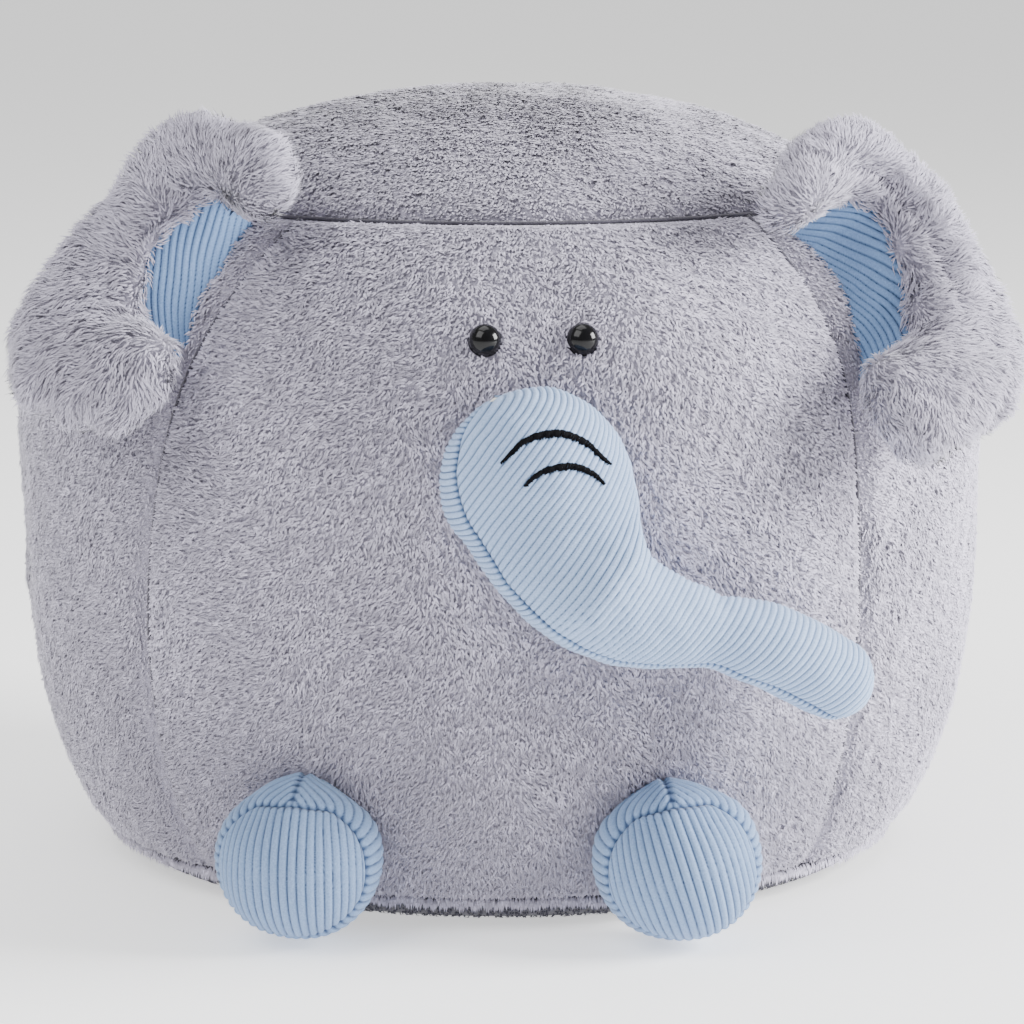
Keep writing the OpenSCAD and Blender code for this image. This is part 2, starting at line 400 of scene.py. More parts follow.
FUR_ROOT = plush_tone(0.4)
FUR_TIPS = [plush_tone(v) for v in (0.31, 0.35, 0.39, 0.43, 0.47, 0.51, 0.55, 0.6, 0.65)]
fur_skin = plush_cloth("plush_skin", plush_tone(0.37), plush_tone(0.45))
ear_skin = plush_cloth("ear_plush_skin", plush_tone(0.35), plush_tone(0.43))
# The base's plush and pile are painted near black: painted shade for the shadow low under the body.
base_shade_skin = plush_cloth("base_plush_painted_shade", (0.07, 0.068, 0.085), (0.13, 0.125, 0.155))
base_weave = weave_cloth("base_weave", (0.03, 0.03, 0.04), (0.09, 0.09, 0.11))
body_pile = pile_tones("body_pile", FUR_ROOT, FUR_TIPS)
EAR_TIPS = [plush_tone(v) for v in (0.39, 0.425, 0.46, 0.5, 0.54, 0.58)]
ear_pile = pile_tones("ear_pile", plush_tone(0.39), EAR_TIPS)
BASE_SHADE_TIPS = [(0.11, 0.105, 0.135), (0.08, 0.077, 0.1)]
base_pile = pile_tones("base_pile", (0.045, 0.044, 0.06), BASE_SHADE_TIPS, sheen=0.1)
# Each corduroy's valley colour is painted shade in its grooves.
trunk_cord = corduroy("trunk_corduroy", (0.08, 0.14, 0.27), (0.45, 0.6, 0.86))
# The feet's and the linings' corduroy is the trunk's made darker: painted shade for places that get less
# light.
foot_cord = corduroy("foot_corduroy", (0.06, 0.1, 0.2), (0.29, 0.42, 0.64))
lining_cord = corduroy("lining_corduroy", (0.03, 0.06, 0.14), (0.24, 0.38, 0.64))
filling = fibre_filling("fibre_filling")
seam_shade = plush_cloth("seam_shade", plush_tone(0.08), plush_tone(0.14))
bead_plastic = moulded_plastic("bead_plastic", (0.004, 0.004, 0.005), 0.14)
washer_plastic = moulded_plastic("washer_plastic", (0.75, 0.74, 0.7), 0.45)
black_thread = satin_thread("black_thread", (0.0015, 0.0015, 0.0025))


# ---------------------------------------------------------------- the body's surface

def side_r(z):
    low = np.clip((WIDEST_Z - z) / WIDEST_Z, 0, 1)
    high = np.clip((z - WIDEST_Z) / (TOP_SEAM_Z - WIDEST_Z), 0, 1)
    below = BASE_R + (WIDEST_R - BASE_R) * (1 - low**LOWER_POWER) ** (1 / LOWER_POWER)
    above = WIDEST_R - (WIDEST_R - TOP_SEAM_R) * high**UPPER_POWER
    return np.where(z < WIDEST_Z, below, above)


SIDE_Z = BASE_SEAM_Z + (TOP_SEAM_Z - BASE_SEAM_Z) * np.linspace(0, 1, 800)
SIDE_R = side_r(SIDE_Z)
SIDE_L = np.concatenate([[0], np.cumsum(np.hypot(np.diff(SIDE_R), np.diff(SIDE_Z)))])
SIDE_LENGTH = SIDE_L[-1]
TOP_R = TOP_SEAM_R * np.linspace(1, 0.001, 400)
TOP_Z = CROWN_Z - (CROWN_Z - TOP_SEAM_Z) * (TOP_R / TOP_SEAM_R) ** DOME_POWER
TOP_L = np.concatenate([[0], np.cumsum(np.hypot(np.diff(TOP_R), np.diff(TOP_Z)))])
TOP_LENGTH = TOP_L[-1]
lumps = waves(5, 110)
ripples = waves(6, 34)


def left_seam(z):
    share = np.clip(z / TOP_SEAM_Z, 0, 1)
    return -46 + 12.6 * share**2.6 - 2.4 * np.sin(math.pi * share)


def right_seam(z):
    return 45 - 6 * np.clip(z / TOP_SEAM_Z, 0, 1) ** 3


PANELS = {
    "face_panel": (left_seam, right_seam),
    "left_side_panel": (lambda z: -BACK_SEAM + 0 * z, left_seam),
    "right_side_panel": (right_seam, lambda z: BACK_SEAM + 0 * z),
    "back_panel": (lambda z: BACK_SEAM + 0 * z, lambda z: 360 - BACK_SEAM + 0 * z),
}


def turned(r, z, turn):
    a = np.radians(turn)
    return np.stack(np.broadcast_arrays(r * np.sin(a), -r * np.cos(a), z), -1)


def pillow(distances):
    """How far the cloth stands out, and is pulled in, at these distances from the seams around it."""
    out, pull = 1.0, 0.0
    for d in distances:
        out = out * (1 - np.exp(-d / BULGE_REACH))
        pull = np.maximum(pull, np.exp(-((d / SEAM_WIDTH) ** 2)))
    return out, pull


def profile_place(lengths, r, z, at, turn):
    """Points on a profile turned round the body, at lengths along it, and their outward normals."""
    p = turned(np.interp(at, lengths, r), np.interp(at, lengths, z), turn)
    nr = np.interp(at, lengths, np.gradient(z, lengths))
    nz = -np.interp(at, lengths, np.gradient(r, lengths))
    return p, unit(turned(nr, nz, turn))


def puffed(p, n, turn, distances, near_rim, bulge, lump, ripple):
    """Bulges cloth between its seams. Near the top seam, the way in is that of both panels."""
    out, pull = pillow(distances)
    near_rim = smooth(near_rim)[..., None]
    inward = unit(n * (1 - near_rim) + turned(0.5, 0.87, turn) * near_rim)
    rough = lump * lumps(p) + ripple * ripples(p)
    return p + n * ((bulge + rough) * out)[..., None] - inward * (SEAM_PINCH * pull)[..., None]


def side_surface(panel, u, length_up):
    """Points and outward normals of a side panel, at shares u across it and lengths up from the base seam."""
    low, high = (f(np.interp(length_up, SIDE_L, SIDE_Z)) for f in PANELS[panel])
    turn = low + u * (high - low)
    p, n = profile_place(SIDE_L, SIDE_R, SIDE_Z, length_up, turn)
    across = np.radians(1) * np.interp(length_up, SIDE_L, SIDE_R)
    distances = [(turn - low) * across, (high - turn) * across, length_up, SIDE_LENGTH - length_up]
    near_rim = (length_up - SIDE_LENGTH + RIM_REACH) / RIM_REACH
    return puffed(p, n, turn, distances, near_rim, PANEL_BULGE, 1.4, 0.5), n, turn


def top_surface(turn, length_in):
    """Points and outward normals of the top panel, at turns and lengths in from its seam."""
    p, n = profile_place(TOP_L, TOP_R, TOP_Z, length_in, turn)
    near_rim = 1 - length_in / RIM_REACH
    return puffed(p, n, turn, [length_in], near_rim, 0.5 * PANEL_BULGE, 1.2, 0.4), n


# ---------------------------------------------------------------- the pile

# How deep a tuft's root is in the cloth, and the share of its length at which it bends over.
TUFT_ROOT = 0.8
TUFT_BEND = 0.45


def tuft_frame(n, lay):
    """Makes lay a unit vector along the cloth, square to the normal n."""
    along = unit(lay - n * (lay * n).sum(-1, keepdims=True))
    return along, np.cross(n, along)


def make_tufts(name, p, n, lay, length, width, rise, tones, tip_pick, soften=0.7, tip_lean=0.0):
    """Closed, bent tufts of hair on points p with normals n, laid over along lay.
    rise is how steeply each one leaves the cloth, in radians; tip_pick chooses its tip's tone."""
    count = len(p)
    along, side = tuft_frame(n, lay)
    length, width, rise = (np.broadcast_to(v, count)[:, None] for v in (length, width, rise))
    up = np.cos(rise) * along + np.sin(rise) * n
    over = np.cos(rise * 0.3) * along + np.sin(rise * 0.3) * n
    root = p - n * TUFT_ROOT
    mid = p + up * length * TUFT_BEND
    tip = mid + over * length * (1 - TUFT_BEND)
    crest = unit(np.cross(side, up) * -1)
    crest = crest * np.sign((crest * n).sum(-1, keepdims=True))
    left, right = mid + side * width / 2, mid - side * width / 2
    verts = np.stack([root, left, mid + crest * width * 0.4, right, tip], 1)
    shape = np.array([(0, 1, 2), (0, 2, 3), (0, 3, 1), (4, 2, 1), (4, 3, 2), (4, 1, 3)])
    a, b, c = (verts[0][i] for i in shape[0])
    if np.dot(np.cross(b - a, c - a), a - verts[0].mean(0) + b - verts[0].mean(0) + c - verts[0].mean(0)) < 0:
        shape = shape[:, ::-1]
    tris = (np.arange(count)[:, None, None] * 5 + shape[None]).reshape(-1, 3)
    obj = mesh_object(name, verts.reshape(-1, 3), (), tris)
    paint(obj, *tones)
    slots = np.zeros((count, 6), np.int32)
    slots[:, 3:] = 1 + tip_pick[:, None]
    obj.data.polygons.foreach_set("material_index", slots.ravel())
    hair = unit(verts - verts.mean(1, keepdims=True))
    hair[:, 4] = unit(n + tip_lean * over)
    softened = unit(soften * n[:, None] + (1 - soften) * hair)
    obj.data.normals_split_custom_set_from_vertices(softened.reshape(-1, 3).tolist())
    return obj


swirl_a = waves(11, 60)
swirl_b = waves(12, 18)
patchy = waves(13, 7)
clumps = waves(14, 11)


def tip_tones(p, nap=0.0, tones=len(FUR_TIPS)):
    """Tones from dark to light, in patches with some scatter; nap makes a whole area darker or lighter, and
    carries painted shade and painted light.
    """
    level = 0.5 + nap + 0.17 * patchy(p) + 0.1 * swirl_a(p) + rng.normal(0, 0.15, len(p))
    return np.clip((level * tones).astype(int), 0, tones - 1)


def painted_belly_shade_right_light(p):
    """Painted shade and painted light in the tips' tones: darker over the belly, which is in shade, lighter
    towards the right side, which faces the key light, and a little darker on the left.
    """
    belly = smooth((150 - p[:, 2]) / 110) * smooth((-p[:, 1] - 60) / 80)
    return 0.2 * np.clip(p[:, 0] / WIDEST_R, -0.3, 1) - 0.42 * belly


# ---------------------------------------------------------------- the trunk's shape

NECK = joint_mm("trunk_lift")
# From the top of the root to the tip: x, z, the middle line's distance in front of the body, half width,
# depth in front of the middle line, depth behind it. A scratch script gave x and z of seven rows, from places
# picked on the photo: report.md says which.
TRUNK = np.array([
    (-10.0, 237.0, 8, 39.2, 29, 9), (7, 203.8, 8.5, 39.2, 29, 9), (12.5, 192, 11, 37.5, 28, 11),
    (18.5, 178, 19, 34, 27, 16), (24, 169.5, 26, 31, 27, 21), (30.2, 162.6, 31.5, 28.3, 27, 26),
    (38, 156, 30.6, 26, 25.5, 25), (46.7, 151, 29.3, 23.8, 23.8, 23.5), (61.9, 145.9, 29.4, 19.3, 19.3, 19),
    (79.3, 142, 30.6, 15.8, 16, 15.5), (99.2, 135.4, 34.8, 17, 17, 16.5),
    (118.4, 126.2, 37.3, 18, 17.8, 17.3), (132.9, 117, 38.3, 17.2, 17, 16.8),
    (145.8, 109.2, 38.3, 17, 17, 16.5)])
WALE = 2.8
WALE_DEPTH = 1.0
WALE_NORMAL = np.array([math.sin(math.radians(51)), -math.cos(math.radians(51))])
SEAM_TURN = (34, 24)
BACK_SEAM_TURN = 205
DIMPLE_AT = np.array([84.0, 155.5])


def rib(phase, depth):
    """Height of a round rib, and how deep in the groove it is, from 0 to 1."""
    s = np.abs(np.sin(math.pi * phase))
    return depth * (s**0.6 - 0.5), 1 - s**0.6


def trunk_line(rows):
    """Stations along the trunk: middle line, frame, half width and two depths, rounded off at both ends."""
    x, z, stand, half, front, back = spline(TRUNK, 1200).T
    around = side_r(z) + stand
    line = np.stack([x, -np.sqrt(around**2 - x**2), z], 1)
    along = walked_along(line)
    total = along[-1]
    share = np.linspace(0, 1, rows)
    # Stations crowd towards the two rounded ends.
    share = share - 0.25 / (2 * math.pi) * np.sin(2 * math.pi * share)
    at = share * total
    line = np.stack([np.interp(at, along, c) for c in line.T], -1)
    half, front, back = (np.interp(at, along, v) for v in (half, front, back))
    a = np.clip(1 - at / half[0], 0, 1)
    b = np.clip(1 - (total - at) / half[-1], 0, 1)
    cap = np.maximum(np.sqrt(1 - a**2) * np.sqrt(1 - b**2), 0.03)
    front = front * np.where(at < total / 2, cap**0.85, cap)
    half, back = half * cap, back * cap
    # Every section holds the way straight out of the body, so that sections never cross in front.
    out = unit(line * [1, 1, 0])
    tangent = np.gradient(line, axis=0)
    tangent = unit(tangent - out * (out * tangent).sum(1, keepdims=True))
    return line, tangent, out, np.cross(tangent, out), half, front, back, at


def trunk_section(stations, turns):
    """Points round every section, at turns in degrees, rows by columns, from its lower left to its front."""
    line, _, out, side, half, front, back, _ = stations
    a = np.radians(turns)
    deep = np.where(np.sin(a) > 0, front[:, None], back[:, None])
    reach = (half[:, None] * np.cos(a))[..., None] * side[:, None]
    return line[:, None] + reach + (deep * np.sin(a))[..., None] * out[:, None]


def trunk_panel(name, low, high, rows, columns, step, straight_grain):
    stations = trunk_line(rows)
    line, _, _, side, *_ = stations
    share = np.linspace(0, 1, columns)[None]
    turns = low[:, None] + (high - low)[:, None] * share
    base = trunk_section(stations, turns)
    normals = grid_normals(base)
    middle = trunk_section(stations, turns[:, [columns // 2]])
    if (normals[:, columns // 2] * (middle[:, 0] - line)).sum() < 0:
        normals = -normals
    lengths = walked_along(base)
    if straight_grain:
        front_at = np.array([np.interp(90, turns[i], lengths[i]) for i in range(rows)])
        flat = line[:, None, [0, 2]] + (front_at[:, None] - lengths)[..., None] * unit(side[:, None, [0, 2]])
        phase = flat @ WALE_NORMAL / WALE
    else:
        phase = np.broadcast_to(walked_along(base[:, -1])[:, None] / WALE, lengths.shape)
    from_seam = np.minimum(lengths, lengths[:, -1:] - lengths)
    stitched = np.exp(-((from_seam / 1.5) ** 2))
    height, groove = rib(phase, WALE_DEPTH)
    fade = 1 - 0.6 * stitched
    soft = 0.5 * trunk_lumps(base) + 0.25 * trunk_creases(base)
    dimple = 1.6 * np.exp(-(((base[..., [0, 2]] - DIMPLE_AT) ** 2).sum(-1)) / 18)
    under = base + normals * (soft - 1.3 * stitched - dimple)[..., None]
    face = under + normals * (height * fade)[..., None]
    if (grid_normals(base)[rows // 2, columns // 2] * normals[rows // 2, columns // 2]).sum() < 0:
        under, face, groove, stitched = (v[:, ::-1] for v in (under, face, groove, stitched))
    obj = cloth_shell(name, face, under, step)
    # The strips pulled in at the seams count as deep groove, so the corduroy gets painted shade along them
    # too.
    attribute_on_front(obj, "groove", np.clip(groove + 0.6 * stitched, 0, 1))
    return paint(obj, trunk_cord)


def attribute_on_front(obj, name, values):
    """Gives the face of a shell its values and the back of the cloth none."""
    whole = np.zeros(len(obj.data.vertices))
    whole[:values.size] = values.ravel()
    attribute(obj, name, whole)


trunk_lumps = waves(21, 40)
trunk_creases = waves(22, 13)


def make_trunk():
    rows, step = ((601, 4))
    line = trunk_line(rows)
    share = line[-1] / line[-1][-1]
    seam = SEAM_TURN[0] + (SEAM_TURN[1] - SEAM_TURN[0]) * share
    back_seam = BACK_SEAM_TURN + 0 * share
    upper = trunk_panel("trunk_upper_cloth", seam, back_seam, rows, 121, step, True)
    under = trunk_panel("trunk_under_cloth", back_seam - 360, seam, rows, 49, step, False)
    filling_turns = np.linspace(0, 360, 33)[None, :-1] + np.zeros((61, 1))
    stations = list(trunk_line(61))
    stations[4], stations[5], stations[6] = (np.maximum(v - 5, 0.3) for v in stations[4:7])
    core = trunk_section(stations, filling_turns)
    core = core + 0.4 * trunk_creases(core)[..., None]
    stuffing = tube_solid("trunk_filling", core)
    paint(stuffing, filling)
    for piece, nodes in ((upper, ("trunk_upper_panel", "trunk_root_cover")), (under, ("trunk_under_panel",)),
                         (stuffing, ("trunk_stuffing", "trunk_root_stuffing"))):
        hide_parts(*nodes)
        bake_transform(piece)
    return upper


def tube_parts(g, first=0):
    """Points and faces of a grid that goes all the way round, with a point at each end; first is the number
    of its first point."""
    rows, columns = g.shape[:2]
    verts = np.concatenate([g.reshape(-1, 3), g[0].mean(0)[None], g[-1].mean(0)[None]])
    c = np.arange(columns)
    d = (c + 1) % columns
    top_row = (rows - 1) * columns
    tris = np.concatenate([np.stack([d, c, np.full(columns, rows * columns)], 1),
                           np.stack([c + top_row, d + top_row, np.full(columns, rows * columns + 1)], 1)])
    return verts, grid_quads(rows, columns, True, first), tris + first


def tube_solid(name, g):
    """A closed solid from such a grid, with its faces outward."""
    verts, quads, tris = tube_parts(g)
    a, b, e = verts[quads[len(quads) // 2][:3]]
    if np.dot(np.cross(b - a, e - a), a - g[len(g) // 2].mean(0)) < 0:
        quads, tris = quads[:, ::-1], tris[:, ::-1]
    return mesh_object(name, verts, quads, tris)


# ---------------------------------------------------------------- the body

# How high above the groove, and how thick, the dark tubes lie that paint shade along the seams.
SEAM_SHADOW_UP = 0.8
SEAM_SHADOW_R = 0.9


def make_body():
    """The five plush panels, as cloth, and the fields that their pile grows on."""
    grown = {}
    rows, columns = ((121, 121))
    for panel in PANELS:
        up = np.linspace(0, SIDE_LENGTH, rows)[:, None]
        u = np.linspace(0, 1, columns)[None]
        p, n, turn = side_surface(panel, u, up)
        low, high = (f(np.interp(up, SIDE_L, SIDE_Z)) for f in PANELS[panel])
        across = np.radians(1) * np.interp(up, SIDE_L, SIDE_R)
        near = np.minimum.reduce(np.broadcast_arrays(
            (turn - low) * across, (high - turn) * across, up, SIDE_LENGTH - up))
        obj = paint(cloth_shell(panel.replace("panel", "cloth"), p, p, 4), fur_skin)
        settle(obj, "body", panel)
        grown[panel] = (p, n, turn, near)
    length_in = np.linspace(0, TOP_LENGTH, rows)[:, None]
    turn = np.arange(0, 360, 3.0)[None]
    p, n = top_surface(turn, length_in)
    obj = paint(cloth_shell("top_cloth", p, p, 4, wrap=True), fur_skin)
    settle(obj, "body", "top_panel")
    p, n = (np.concatenate([v, v[:, :1]], 1) for v in (p, n))
    turn = np.concatenate([turn, turn[:, :1] + 360], 1) + 0 * length_in
    grown["top_panel"] = (p, n, turn, length_in + 0 * turn)
    return grown


def seam_shadow_line(name, p, n):
    """A dark tube at the bottom of the groove where two panels are sewn together: painted shade for the
    shadow in the seam.
    """
    along = unit(np.gradient(p, axis=0))
    side = unit(np.cross(along, n))
    a = np.radians(np.arange(0, 360, 45))[None, :, None]
    out = np.cross(side, along)
    middle = (p + n * SEAM_SHADOW_UP)[:, None]
    g = middle + SEAM_SHADOW_R * (np.cos(a) * side[:, None] + np.sin(a) * out[:, None])
    on_body(paint(tube_solid(name, g), seam_shade))


def make_seam_shadow_lines():
    up = np.linspace(6, SIDE_LENGTH - 1, 150)
    for name, panel, u in (("face_left_seam_shadow", "face_panel", 0), ("face_right_seam_shadow", "face_panel", 1),
                           ("back_right_seam_shadow", "back_panel", 0), ("back_left_seam_shadow", "back_panel", 1)):
        p, n, _ = side_surface(panel, u + 0 * up, up)
        seam_shadow_line(name, p, n)
    p, n = top_surface(np.linspace(180.5, 539.5, 360), np.zeros(360))
    seam_shadow_line("top_seam_shadow", p, n)


def make_base():
    """A shallow dish under the body: a ring of plush painted near black, as painted shade for the shadow
    under the body, and a flat woven underside.
    """
    z = np.linspace(BASE_SEAM_Z + 0.4, 0.6, 13)
    ring_r = side_r(z) - 0.6 - 2.2 * np.exp(-(((BASE_SEAM_Z - z) / 2.5) ** 2))
    edge = np.vstack([np.stack([ring_r, z], 1), [(BASE_R - 1.5, 0.2), (BASE_R - 5, 0.05)]])
    flat = np.stack([np.linspace(BASE_R - 10, 1, 31), np.full(31, 0.05)], 1)
    r, z = np.concatenate([edge, flat]).T[:, ::-1]
    g = turned(r[:, None], z[:, None], np.arange(0, 360, 3.0)[None])
    obj = cloth_shell("base_cloth", g, g, 5, wrap=True)
    paint(obj, base_weave, base_shade_skin)
    # Faces above the floor get the plush painted with shade; the flat underside gets the weave.
    slots = np.array([1 if max(abs(obj.data.vertices[v].co.z) for v in f.vertices) > 0.0012 else 0
                      for f in obj.data.polygons], np.int32)
    obj.data.polygons.foreach_set("material_index", slots)
    settle(obj, "body", "base_panel")
    ring = turned(edge[::-1, :1], edge[::-1, 1:], np.arange(0, 361, 3.0)[None])
    return ring, grid_normals(ring)


def seed(fields, step):
    """Scattered samples, about step apart, of fields over a grid of points, which is the first field."""
    g = fields[0]
    a = g[1:, 1:] - g[:-1, :-1]
    b = g[1:, :-1] - g[:-1, 1:]
    area = np.linalg.norm(np.cross(a, b), axis=-1) / 2
    area[1::2] = area[1::2, ::-1]
    total = np.concatenate([[0], np.cumsum(area.ravel())])
    count = int(total[-1] / step**2)
    at = (np.arange(count) + rng.uniform(0, 1, count)) * total[-1] / count
    cell = np.clip(np.searchsorted(total, at) - 1, 0, area.size - 1)
    row, column = np.divmod(cell, area.shape[1])
    column = np.where(row % 2, area.shape[1] - 1 - column, column)
    s, t = rng.uniform(0, 1, (2, count))
    picked = []
    for f in fields:
        f = np.broadcast_to(f, g.shape[:2] + f.shape[2:])
        w, v = (s[:, None], t[:, None]) if f.ndim == 3 else (s, t)
        picked.append((f[row, column] * (1 - w) + f[row + 1, column] * w) * (1 - v)
                      + (f[row, column + 1] * (1 - w) + f[row + 1, column + 1] * w) * v)
    return picked


# The most tufts in one piece.
MOST_TUFTS = 33000


def grow(name, p, n, lay, length, width, rise, tones, tip_pick, place, soften=0.7, tip_lean=0.0):
    """Grows tufts, in as many pieces as their count needs; place makes each piece ride."""
    parts = max(1, math.ceil(len(p) / MOST_TUFTS))
    edges = np.linspace(0, len(p), parts + 1).astype(int)
    for i in range(parts):
        cut = slice(edges[i], edges[i + 1])
        label = name if parts == 1 else f"{name}_{i + 1}"
        place(make_tufts(label, p[cut], n[cut], lay[cut], length[cut], width[cut], rise[cut], tones,
                         tip_pick[cut], soften, tip_lean))


def brushed(n, turn, beta):
    """Down the body, turned by beta degrees towards larger turns."""
    a = np.radians(turn)
    across = np.stack([np.cos(a), np.sin(a), 0 * a], -1)
    down = np.cross(n, across)
    down = down * np.where(down[:, 2:] > 0, -1, 1)
    b = np.radians(beta)[:, None]
    return down * np.cos(b) + across * np.sin(b)


def bare(p):
    """Where no pile grows: under the trunk's root, under the feet and under the eyes."""
    hide = np.zeros(len(p), bool)
    front = p[:, 1] < 0
    line, _, _, _, half, *_, at = trunk_line(60)
    sewn = (line[:, 2] > NECK[2] + 12) & (at > half.max() - 1)
    for c, r in zip(line[sewn], half[sewn]):
        hide |= front & (np.hypot(p[:, 0] - c[0], p[:, 2] - c[2]) < r - 5)
    for c, _ in EYES:
        hide |= np.linalg.norm(p - c, axis=1) < 5.5
    for c, *_ in FEET.values():
        hide |= np.linalg.norm(p - c, axis=1) < FOOT_R - 4
    return hide


def on_body(obj):
    settle(obj, "body")


# How near a seam the pile starts, where it gets to its full length, and how long and how steep it is.
SEAM_GAP = 0.8
FUR_EDGE = 3.5
FUR_LENGTH = 4.2
FUR_RISE = 0.78


def grow_body(grown):
    for panel, fields in grown.items():
        p, n, turn, near = seed(fields, FUR_STEP)
        n = unit(n)
        keep = ~bare(p) & (near > SEAM_GAP)
        p, n, turn, near = p[keep], n[keep], turn[keep], near[keep]
        count = len(p)
        drift = 16 * swirl_a(p) + 16 * swirl_b(p) + rng.normal(0, 27, count)
        high = np.clip(p[:, 2] / TOP_SEAM_Z, 0, 1)
        if panel == "top_panel":
            outward = turned(1 + 0 * turn, 0 * turn, turn)
            lay = outward * 0.35 + np.array([0, -0.5, 0]) + np.array([0.8, 0, 0]) * (p[:, :1] / TOP_SEAM_R)
            a = np.radians(drift)[:, None]
            lay = lay * np.cos(a) + np.cross(n, lay) * np.sin(a)
        else:
            if panel == "face_panel":
                scale = np.where(turn < 0, 50 + 24 * high, 44)
                beta = scale * np.clip(turn / 40, -1, 1)
            elif panel == "left_side_panel":
                beta = -38 * np.clip((turn + BACK_SEAM) / 60, 0, 1)
            elif panel == "right_side_panel":
                beta = 38 * np.clip((BACK_SEAM - turn) / 60, 0, 1)
            else:
                beta = 0 * turn
            lay = brushed(n, turn, beta + drift)
        seam = np.exp(-((near / 5) ** 2))
        length = FUR_LENGTH + 0.6 * clumps(p) + rng.normal(0, 0.6, count)
        length = length * (1 - 0.4 * seam) * (1 - 0.3 * (near < FUR_EDGE))
        width = rng.uniform(0.65, 1.2, count)
        rise = np.clip(FUR_RISE + 0.2 * patchy(p) + rng.normal(0, 0.2, count), 0.25, 1.3) * (1 - 0.4 * seam)
        # The tips' tones carry painted shade over the belly and painted light on the right side.
        grow(panel.replace("panel", "pile"), p, n, lay, np.maximum(length, 2.2), width, rise, body_pile,
             tip_tones(p, painted_belly_shade_right_light(p)), on_body)


HEM_TURNS = np.arange(0, 360, 0.09)


def grow_base(ring, normals):
    p, n = seed((ring, normals), 2.0)
    n = unit(n)
    out = unit(p * [1, 1, 0])
    if (n * out).sum() < 0:
        n = -n
    across = np.stack([out[:, 1], -out[:, 0], 0 * out[:, 0]], -1)
    lay = np.array([0, 0, -1.0]) + 0.5 * across * rng.normal(0, 1, (len(p), 1))
    keep = (p[:, 2] > 1.5) & ~bare(p)
    p, n, lay = p[keep], n[keep], lay[keep]
    count = len(p)

    hem_z = BASE_SEAM_Z + rng.uniform(-0.5, 2.5, len(HEM_TURNS))
    hem = turned(side_r(BASE_SEAM_Z + 1.5) - 0.5 + 0 * HEM_TURNS, hem_z, HEM_TURNS)
    hem_out = unit(hem * [1, 1, 0])
    hem_keep = ~bare(hem)
    hem, hem_out = hem[hem_keep], hem_out[hem_keep]
    down = np.array([0, 0, -1.0]) - 0.3 * hem_out
    ranges = ((3.4, 5.0), (0.7, 1.3), (0.05, 0.35))
    length, width, rise = (rng.uniform(low, high, len(hem)) for low, high in ranges)
    grow("hem_pile", hem, hem_out, down + 0 * hem, length, width, rise, body_pile, tip_tones(hem), on_body)

    def place(obj):
        settle(obj, "body")

    # The base pile's near-black tones are painted shade.
    grow("base_pile", p, n, lay, rng.uniform(2.2, 3.4, count), rng.uniform(0.7, 1.1, count),
         np.full(count, 0.35), base_pile, rng.integers(0, 2, count), place)


# ---------------------------------------------------------------- eyes

def eye_places():
    places = []
    for name in ("eye_left_bead", "eye_right_bead"):
        low, high = box_mm(name)
        middle = (low + high) / 2
        turn = math.degrees(math.atan2(middle[0], -middle[1]))
        z = (low[2] + high[2]) / 2 + 0.6
        up = np.interp(z, SIDE_Z, SIDE_L)
        places.append((turned(side_r(z), z, turn), profile_place(SIDE_L, SIDE_R, SIDE_Z, up, turn)[1]))
    return places


EYES = eye_places()


# The bead's rim, as radius and height; the dome's radius, its height, and where it starts.
BEAD_RIM = [(5.6, 0.6), (6.5, 0.7), (7.0, 1.1), (7.1, 1.6), (7.0, 2.1), (6.85, 2.4)]
DOME_R, DOME_HIGH, DOME_FROM = 6.75, 6.6, 2.9


def make_eyes():
    t = np.linspace(0, math.pi / 2, 14)[:-1]
    dome = np.stack([DOME_R * np.cos(t), DOME_FROM + DOME_HIGH * np.sin(t)], 1)
    profile = np.vstack([BEAD_RIM, dome])
    turns = np.radians(np.arange(0, 360, 7.5))
    for label, (c, n) in zip(("left", "right"), EYES):
        side = unit(np.cross([0, 0, 1.0], n))
        up = np.cross(n, side)
        round_ = np.cos(turns)[:, None] * side + np.sin(turns)[:, None] * up
        g = c + profile[:, :1, None] * round_[None] + profile[:, 1:, None] * n
        obj = paint(tube_solid(f"eye_{label}_dome", g), bead_plastic)
        settle(obj, "body", f"eye_{label}_bead")


# ---------------------------------------------------------------- feet

FOOT_R = 36
FOOT_OUT = 222
FOOT_WALE = 4.0
FOOT_WALE_DEPTH = 1.25
FOOT_BACK = 22
FOOT_SAG = 0.07
# Each foot: the way its toe faces, degrees; how its seam and its ribs lean to the right, degrees.
FOOT_LOOKS = {"left": (-11, -2, 0), "right": (3, 9, 17)}


def foot_places():
    places = {}
    for label in ("left", "right"):
        at = joint_mm(f"foot_{label}_tilt")
        turn = math.degrees(math.atan2(at[0], -at[1]))
        places[label] = (turned(FOOT_OUT, FOOT_R, turn), unit(turned(1, 0, turn)))
    return places


FEET = foot_places()
foot_lumps = waves(33, 30)


